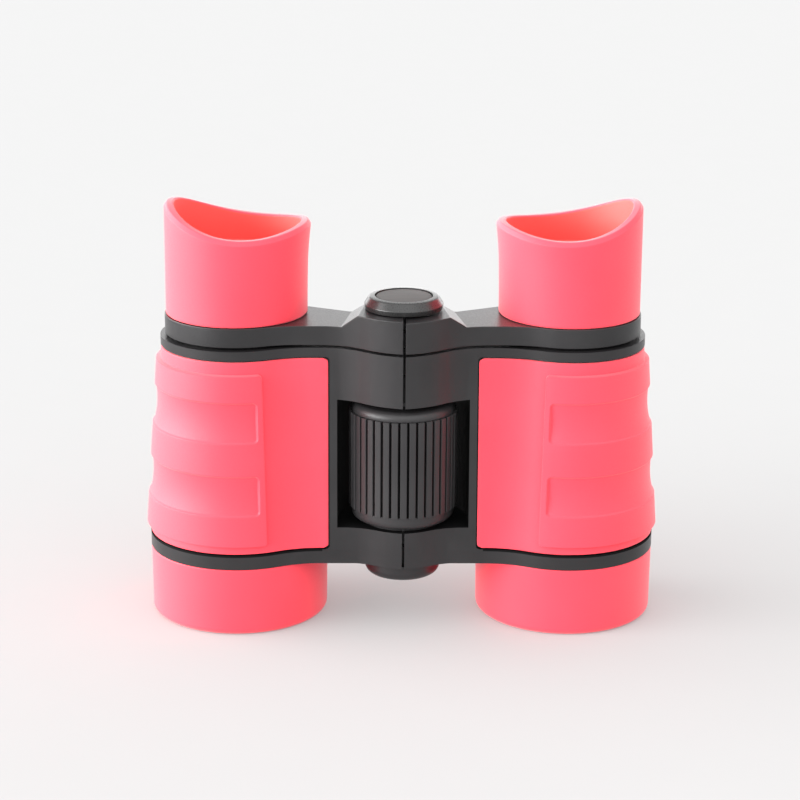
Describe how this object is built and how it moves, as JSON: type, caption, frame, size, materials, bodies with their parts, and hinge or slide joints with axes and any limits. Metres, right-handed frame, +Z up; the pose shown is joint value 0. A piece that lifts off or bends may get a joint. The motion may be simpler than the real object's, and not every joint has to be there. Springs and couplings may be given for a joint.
{
  "type": "toy binoculars",
  "caption": "Small toy binoculars with soft pink grip armour, a folding centre hinge and a ribbed focus wheel that lifts both eyepieces together.",
  "frame": {"origin": "on the table under the middle of the object, midway between the two barrels, hinge opened flat", "axes": "+Z up along the optical axes towards the eyecups, +X across to the right barrel, +Y away from the wheel side"},
  "size_m": [0.1048, 0.0379, 0.0859],
  "materials": {
    "black_plastic": "satin moulded black",
    "black_wheel": "satin ribbed black",
    "black_cap": "semi-gloss black",
    "pink_rubber": "soft matte coral pink",
    "pink_plastic": "satin coral pink",
    "clear_lens": "clear polished",
    "steel": "plain turned"
  },
  "bodies": {
    "left_half": {"left_barrel": "black_plastic", "left_armour": "pink_rubber", "left_objective_ring": "pink_plastic", "left_objective_lens": "clear_lens", "lower_hinge_pin": "steel", "upper_hinge_sleeve": "steel", "wheel_washer": "black_plastic"},
    "right_half": {"right_barrel": "black_plastic", "right_armour": "pink_rubber", "right_objective_ring": "pink_plastic", "right_objective_lens": "clear_lens"},
    "wheel": {"focus_wheel": "black_wheel"},
    "left_eyepiece": {"left_eyepiece_arm": "black_plastic", "left_eyepiece_tube": "black_plastic", "left_ocular_lens": "clear_lens", "left_ocular_ring": "black_plastic", "left_eyecup": "pink_rubber", "focus_spindle": "steel", "top_cap": "black_cap", "cap_inlay": "black_cap", "cap_screw": "steel"},
    "right_eyepiece": {"right_eyepiece_arm": "black_plastic", "right_eyepiece_tube": "black_plastic", "right_ocular_lens": "clear_lens", "right_ocular_ring": "black_plastic", "right_eyecup": "pink_rubber"}
  },
  "joints": [
    {"name": "fold", "type": "hinge", "parent": "left_half", "child": "right_half", "pos_m": [0, -0.008, 0.037], "axis": [0, 0, 1], "range_deg": [0, 36]},
    {"name": "focus_turn", "type": "hinge", "parent": "left_half", "child": "wheel", "pos_m": [0, -0.008, 0.0355], "axis": [0, 0, 1], "range_deg": [0, 360]},
    {"name": "left_focus", "type": "slide", "parent": "left_half", "child": "left_eyepiece", "axis": [0, 0, 1], "range_m": [0, 0.006]},
    {"name": "right_focus", "type": "slide", "parent": "right_half", "child": "right_eyepiece", "axis": [0, 0, 1], "range_m": [0, 0.006]}
  ],
  "couplings": [
    {"joint": "focus_turn", "follows": "left_focus", "rad_per_m": 1047.2},
    {"joint": "right_focus", "follows": "left_focus", "ratio": 1}
  ]
}
